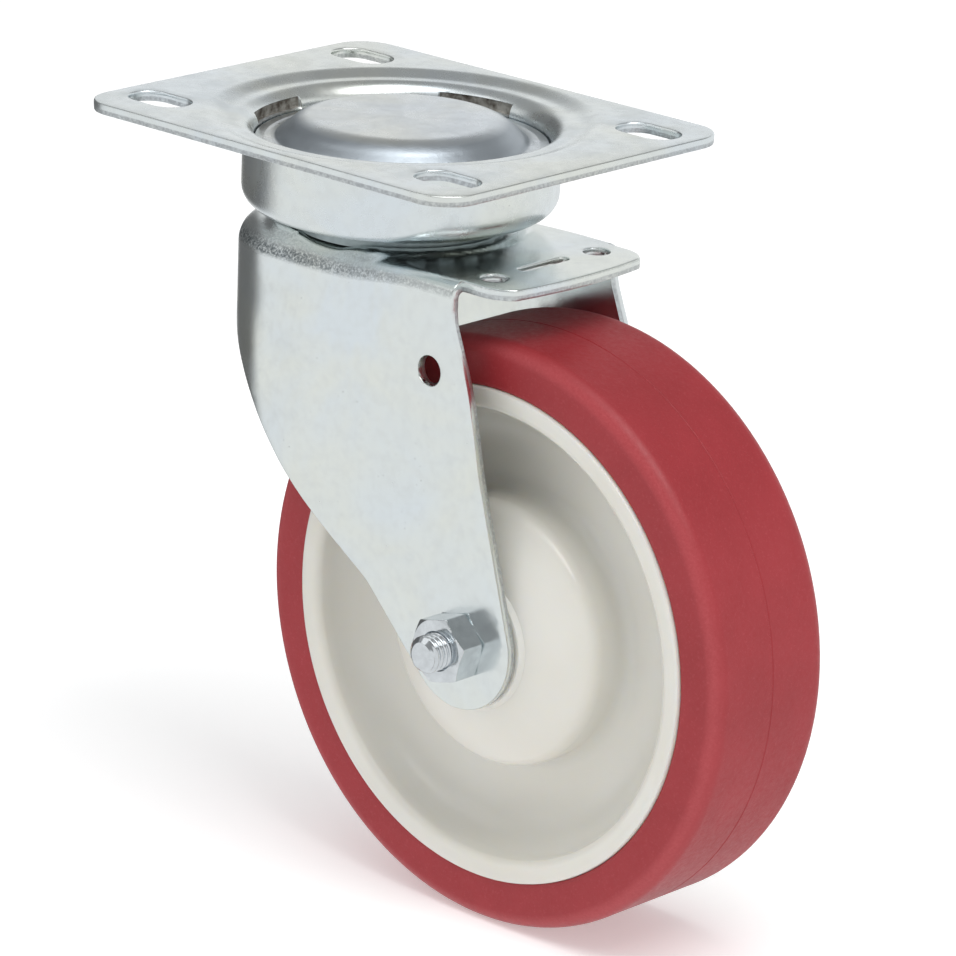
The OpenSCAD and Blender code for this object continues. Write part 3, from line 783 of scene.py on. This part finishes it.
    right = [(x - to_x, z) for x, z in path]
    for x in np.linspace(skirt_from[0] - 1, xc, 24):
        right.append((x - to_x, skirt_z(x)))
    for s in np.linspace(flat_back + turn, flat_back, 30)[1:]:
        right.append((s, skirt_z(plan(s, 0)[0][0])))
    right.append((0.0, skirt_z(back_x)))
    right = resample(right, 0.9)
    right = shift_path(right, -RIM_IN)
    right[0] = (s_front, wall_z)
    right[-1][0] = 0.0
    if right[5][0] > right[0][0] + 2 or right[40][0] < 0:
        raise RuntimeError("fork outline is turned round")
    lower = [tuple(p) for p in right[1:]] + [(-s, z) for s, z in reversed(right[1:-1])]
    loop = [(s, wall_z) for s in cols] + lower
    loops = [loop]
    lh = mounts["leg_hole_left"]
    for sg in (-1, 1):
        c = (sg * (lh["pos_m"][0] / MM - to_x), lh["pos_m"][2] / MM)
        loops.append(resample(arc(c, lh["dims"]["r_mm"] + RIM_IN, 0, 360, 40)[:-1], 0.5, True))
        c = (sg * (end_c[0] - to_x), end_c[1])
        loops.append(resample(arc(c, 4.2 + RIM_IN, 0, 360, 40)[:-1], 0.6, True))
    uv, tris = fill(loops, 1.35)
    tris = [tuple(reversed(x)) for x in tris]         # s runs left to right seen from outside, mirrored
    sh.chart(uv, tris, wall)

    def bump(q):
        rise = bead(q[0], q[1]) * smooth(-24.6, -23.1, q[2])
        soft = 0.05 * wob(q, 21, 7.0) + 0.014 * wob(q, 7, 1.5)
        rear = 0.16 * wob(q, 12, 4.0) * smooth(4, -14, q[0]) * smooth(-24, -30, q[2])
        return rise + rear + soft * smooth(-23.2, -28, q[2]) + 0.006 * wob(q, 5, 3.0)

    return sh.finish("fork_sheet", zinc_fork, "fork", ["fork"], SHEAR, bump, None, 6.0)


top_plate()
fork()

# ------------------------------------------------------------------ swivel head turned parts


def dome():
    top, t = dome_hi[2], 2.0
    rim_r, rim_z = dome_hi[0], -5.2
    c = (18.0, top - 8.0)
    upper = [(0, top), (6, top), (12, top), (16, top), (18, top)] + arc(c, 8.0, 90, 45, 12)[1:]
    last = upper[-1]
    upper += spline([last, (25.2, rim_z + 1.3), (26.2, rim_z + 0.35), (27.2, rim_z + 0.02)], 5)[1:]
    upper += [(28.0, rim_z + 0.0), (28.25, rim_z + 0.10), (28.5, rim_z + 0.10), (28.75, rim_z),
              (rim_r - 0.35, rim_z), (rim_r - 0.08, rim_z - 0.1), (rim_r, rim_z - 0.35), (rim_r, rim_z - t)]
    under = [(25.2, rim_z - t)] + [(p[0], p[1]) for p in arc(c, 6.0, 45, 90, 8)] + [(0, top - t)]
    return lathe("dome_cap", upper + under, zinc_dome, "fork", ["swivel_dome"], segs=240, closed=False)


dome()

# ------------------------------------------------------------------ wheel


def wheel_parts():
    hub_hw = centre_hi[1]
    boss_r, edge_r, edge_y = 28.3, 4.3, 12.6
    lean = 59
    edge_c = (boss_r - edge_r, edge_y)
    dome_c = (edge_c[0] - (42 - edge_r) * math.cos(math.radians(lean)),
              edge_c[1] - (42 - edge_r) * math.sin(math.radians(lean)))
    half = [(11.0, 18.0), (12.5, 18.0), (12.5, hub_hw - 0.3), (12.8, hub_hw), (13.6, hub_hw), (14.0, hub_hw - 0.12)]
    half += arc(dome_c, 42, 76, lean, 16)
    half += arc(edge_c, edge_r, lean - 8, 0, 12)
    half += arc((boss_r + 3.0, 5 + 3.0), 3.0, 180, 270, 8)
    half += [(33.4, 5.0), (35.0, 5.0)]
    half += arc((36.0, 17.0), 12.0, 270, 344, 18)
    half += arc((49.75, 15.4), 2.1, 168, 90, 10)
    half += [(50.9, 17.5), (51.9, 17.48), (52.3, 17.35), (52.45, 17.1), (52.5, 16.6)]
    half += [(52.5, 14.5), (54.5, 12.5)]
    prof = half + [(r, -h) for r, h in reversed(half)]
    lathe("wheel_body", prof, nylon, "wheel", ["wheel_centre"], about=axle, along="Y", segs=288)

    sh = tyre_hi[1]
    cr = 3.4
    c = (wheel_r - cr, sh - cr)
    outer = [(54.5, 12.5), (52.55, 14.45), (52.55, 16.2), (52.65, 16.62), (52.95, sh - 0.02), (53.6, sh),
             (55.5, sh + 0.0), (57.5, sh), (c[0], sh)]
    # rim marks for the tyre: where its painted highlight goes
    mk = [0, 0, 0, 0.4, 0.3, 0, 0, 0, 0.1]
    pts = arc(c, cr, 90, 0, 12)[1:]
    outer += pts
    mk += [0.35, 0.6, 0.8, 0.9, 0.9, 0.8, 0.6, 0.5, 0.4, 0.25, 0.15, 0.1]
    y = c[1]
    for yy in (12.0, 10.0, 7.0, 4.0, 2.0, 0.9, 0.42, 0.3):
        if yy < y:
            outer.append((wheel_r - 0.02, yy))
            mk.append(0.0)
    outer += [(wheel_r - 0.13, 0.16), (wheel_r - 0.13, 0.0)]
    mk += [0.0, 0.0]
    prof = outer + [(r, -h) for r, h in reversed(outer[:-1])]
    mk = mk + list(reversed(mk[:-1]))

    def wave(a, r, h, k):
        return 0.02 * noise.noise(Vector((3 * math.cos(a), 3 * math.sin(a), h / 9)))

    lathe("tyre_body", prof, tyre_red, "wheel", ["tyre"], about=axle, along="Y", segs=360,
          wave=wave, marks=mk)
    for nm, sg, lo, hi in (("hub_cap_left", -1, *box("end_cap_left")), ("hub_cap_right", 1, *box("end_cap_right"))):
        base, face = 18.2, 22.5
        prof = [(6.2, base), (12.45, base), (12.45, face - 0.5), (12.3, face - 0.15), (11.9, face), (10.4, face),
                (10.0, face - 0.45), (8.6, face - 0.5), (8.2, face - 0.05), (7.0, face), (6.4, face - 0.2),
                (6.2, face - 0.7)]
        lathe(nm, [(r, sg * h) for r, h in prof], cap_mat, "wheel", ["end_" + nm[4:]], about=axle,
              along="Y", segs=128)


wheel_parts()

# ------------------------------------------------------------------ axle bolt, nut and washer


def radial(name, rows, count, start, material, body, nodes, sharp=28):
    """Closed piece round the axle from rows of (y, radius of angle); the first and last row are small circles."""
    verts, faces = [], []
    for y, rad in rows:
        for i in range(count):
            a = math.radians(start) + 2 * math.pi * i / count
            r = rad(math.degrees(a)) if callable(rad) else rad
            verts.append((axle[0] + r * math.cos(a), y, axle[2] + r * math.sin(a)))
    n = len(rows)
    for k in range(n - 1):
        for i in range(count):
            j = (i + 1) % count
            faces.append((k * count + i, k * count + j, (k + 1) * count + j, (k + 1) * count + i))
    ob = make(name, verts, faces, material, body, nodes, sharp=sharp)
    return ob


def hex_r(flats, start, a):
    """Radius of a hexagon with slightly rounded corners."""
    off = ((a - start + 30) % 60) - 30               # 0 at a corner
    plain = flats / 2 / math.cos(math.radians(30 - abs(off)))
    return plain - 0.10 * smooth(2.4, 0.0, abs(off))


def hexagon(name, y0, y1, start, bore, nodes, both=True):
    """Hexagon from y0 to y1 with turned chamfers."""
    flats = 13.0
    corner = flats / 2 / math.cos(math.radians(30))
    face_r = corner - 1.05
    sg = 1 if y1 > y0 else -1
    h = abs(y1 - y0)
    slope = 0.62 / 1.2

    def rad(depth):
        return lambda a: min(hex_r(flats, start, a), face_r + depth / slope)

    rows = []
    if bore:
        rows += [(h / 2, bore), (0.75, bore), (0.35, bore + 0.38), (0.0, bore + 0.75)]
    else:
        rows += [(0.35, 0.02), (0.35, 2.4), (0.32, 4.2), (0.10, 4.9), (0.0, 5.3)]
    rows += [(0.0, face_r - 0.25)]
    steps = [0.0, 0.06, 0.12, 0.2, 0.28, 0.36, 0.44, 0.52, 0.60, 0.72, 1.0]
    rows += [(d, rad(d)) for d in steps]
    if both:
        rows += [(h - d, rad(d)) for d in reversed(steps)]
    else:
        rows += [(h - 0.05, rad(9)), (h, lambda a: hex_r(flats, start, a) - 0.06)]
    rows += [(h, face_r - 0.3)]
    if bore:
        rows += [(h, bore + 0.75), (h - 0.35, bore + 0.38), (h - 0.75, bore), (h / 2, bore)]
    else:
        rows += [(h, 3.9), (h - 0.1, 0.02)]
    rows = [(y0 + sg * d, r) for d, r in rows]
    ob = radial(name, rows, 240, start, zinc_nut, "fork", nodes)
    outward(ob)
    return ob


def threaded_bolt():
    pitch, crest, root = 1.25, 3.93, 3.32
    tip = bolt_lo[1]
    count = 72
    start_y = nut_hi[1] - 0.4
    rows = []
    n = int((start_y - tip) / (pitch / 14))
    for k in range(n + 1):
        y = tip + (start_y - tip) * k / n

        def rad(a, y=y):
            u = ((y - tip) / pitch + a / 360.0) % 1.0
            tri = abs(2 * u - 1)
            r = root + (crest - root) * smooth(0.06, 0.90, tri)
            return min(r, 2.75 + (y - tip) * 1.15)

        rows.append((y, rad))
    rows = [(tip + 0.12, 0.02), (tip + 0.06, 1.3), (tip, 2.3)] + rows + [(start_y + 0.6, crest)]
    rows += [(bolt_hi[1] - 5.4, 3.93), (bolt_hi[1] - 5.3, 3.9), (bolt_hi[1] - 5.2, 0.02)]
    ob = radial("bolt_thread", rows, count, 0, zinc_nut, "fork", ["axle_bolt"], sharp=50)
    outward(ob)
    hexagon("bolt_head", bolt_hi[1], bolt_hi[1] - 5.3, 5, 0, ["axle_bolt"], both=False)


def washer():
    y0, y1 = washer_lo[1], washer_hi[1]
    r0, r1 = 4.2, 7.2
    gap = math.radians(4.0)
    a0 = math.radians(100)
    n = 96
    verts, faces = [], []
    prof = [(r0 + 0.1, 0.0), (r1 - 0.15, 0.0), (r1, 0.12), (r1, 0.88), (r1 - 0.15, 1.0), (r0 + 0.1, 1.0), (r0, 0.9), (r0, 0.1)]
    for i in range(n + 1):
        a = a0 + gap + (2 * math.pi - 2 * gap) * i / n
        for r, f in prof:
            verts.append((axle[0] + r * math.cos(a), y0 + (y1 - y0) * f, axle[2] + r * math.sin(a)))
    m = len(prof)
    for i in range(n):
        for k in range(m):
            a, b = i * m + k, i * m + (k + 1) % m
            faces.append((a, b, b + m, a + m))
    faces.append(tuple(range(m - 1, -1, -1)))
    faces.append(tuple(n * m + k for k in range(m)))
    ob = make("split_washer", verts, faces, zinc_nut, "fork", ["spring_washer"], sharp=30)
    outward(ob)


hexagon("lock_nut", nut_lo[1], nut_hi[1], 14, 3.5, ["axle_nut"])
threaded_bolt()
washer()


def rivet():
    crown, top = -2.3, -23.0
    under = top - 2.3
    prof = [(0, crown), (14.2, crown), (14.6, crown - 0.4), (14.6, top), (12.0, top), (12.0, under), (14.3, under),
            (14.6, under - 0.3), (14.4, under - 1.0), (13.4, under - 1.6), (12.0, under - 1.7), (10.6, under - 1.5),
            (9.9, under - 0.9), (9.8, under - 0.2), (9.8, crown - 4.0), (8.8, crown - 2.9), (0, crown - 2.4)]
    lathe("pin_rivet", prof, rivet_mat, "fork", ["swivel_rivet"], segs=160, closed=False)


rivet()

# ------------------------------------------------------------------ floor, lights, world, camera


def floor():
    me = bpy.data.meshes.new("floor")
    z = cad_lo[2] - 0.0001
    me.from_pydata([(-6, -6, z), (6, -6, z), (6, 6, z), (-6, 6, z)], [], [(0, 1, 2, 3)])
    ob = bpy.data.objects.new("floor", me)
    bpy.context.scene.collection.objects.link(ob)
    m = Mat("floor")
    m.set(color=(0.90, 0.90, 0.90), rough=0.9)
    m.b.inputs["Specular IOR Level"].default_value = 0.0
    m.b.inputs["Emission Color"].default_value = (1, 1, 1, 1)
    m.b.inputs["Emission Strength"].default_value = 0.34
    me.materials.append(m.m)
    ob.visible_glossy = False


def area(name, at, toward, size, power, color=(1, 1, 1)):
    d = bpy.data.lights.new(name, "AREA")
    d.shape = "RECTANGLE"
    d.size, d.size_y = size
    d.energy = power
    d.color = color
    o = bpy.data.objects.new(name, d)
    o.location = at
    o.rotation_euler = (Vector(toward) - Vector(at)).to_track_quat("-Z", "Y").to_euler()
    bpy.context.scene.collection.objects.link(o)


def world():
    """White tent with a softbox overhead, a calmer band between them, and a dark gap on the left."""
    w = bpy.data.worlds.new("studio")
    bpy.context.scene.world = w
    w.use_nodes = True
    nt = w.node_tree
    bg = nt.nodes["Background"]
    tc = nt.nodes.new("ShaderNodeTexCoord")
    sp = nt.nodes.new("ShaderNodeSeparateXYZ")
    nt.links.new(tc.outputs["Generated"], sp.inputs[0])

    def ramp(v, a, b, c, d):
        n = nt.nodes.new("ShaderNodeMapRange")
        n.interpolation_type = "SMOOTHSTEP"
        nt.links.new(v, n.inputs["Value"])
        for k, x in zip(("From Min", "From Max", "To Min", "To Max"), (a, b, c, d)):
            n.inputs[k].default_value = x
        return n.outputs["Result"]

    def toward(x, y, z):
        n = nt.nodes.new("ShaderNodeVectorMath")
        n.operation = "DOT_PRODUCT"
        n.inputs[1].default_value = Vector((x, y, z)).normalized()
        nt.links.new(tc.outputs["Generated"], n.inputs[0])
        return n.outputs["Value"]

    def times(a, b):
        n = nt.nodes.new("ShaderNodeMath")
        n.operation = "MULTIPLY"
        nt.links.new(a, n.inputs[0])
        nt.links.new(b, n.inputs[1])
        return n.outputs[0]

    z = sp.outputs["Z"]
    low = ramp(z, 0.34, 0.56, 0.92, 0.34)
    overhead = ramp(toward(0.16, -0.18, 0.97), 0.88, 0.97, 0.0, 1.7)
    gap = ramp(times(ramp(toward(-0.97, 0.06, 0.0), 0.74, 0.93, 0, 1), ramp(z, 0.62, 0.40, 0, 1)), 0, 1, 1.0, 0.17)
    plus = nt.nodes.new("ShaderNodeMath")
    plus.operation = "ADD"
    nt.links.new(times(low, gap), plus.inputs[0])
    nt.links.new(overhead, plus.inputs[1])
    nt.links.new(plus.outputs[0], bg.inputs["Strength"])
    bg.inputs["Color"].default_value = (0.985, 0.995, 1.0, 1)


floor()
world()
area("key", (-0.9, -1.1, 1.5), (0, 0, -0.05), (1.1, 1.1), 3)
area("top", (0.9, -0.2, 1.5), (0, 0, -0.08), (1.0, 1.0), 11)

cam = bpy.data.cameras.new("camera")
camera = bpy.data.objects.new("camera", cam)
bpy.context.scene.collection.objects.link(camera)
AZ, EL, ROLL = math.radians(42.3986), math.radians(18.0063), math.radians(2.2140)
back = Vector((math.sin(AZ) * math.cos(EL), -math.cos(AZ) * math.cos(EL), math.sin(EL)))
right = (-back).cross(Vector((0, 0, 1))).normalized()
up = right.cross(-back)
r2 = math.cos(ROLL) * right + math.sin(ROLL) * up
u2 = -math.sin(ROLL) * right + math.cos(ROLL) * up
place = Matrix((r2, u2, back)).transposed().to_4x4()
place.translation = Vector((0.76757, -0.81216, 0.28501))
camera.matrix_world = place
cam.sensor_width = 36
cam.lens = 210.3
cam.shift_x = -0.00445
cam.shift_y = 0.00082
cam.clip_start, cam.clip_end = 0.01, 50
bpy.context.scene.camera = camera
bpy.context.scene.view_settings.view_transform = "Standard"
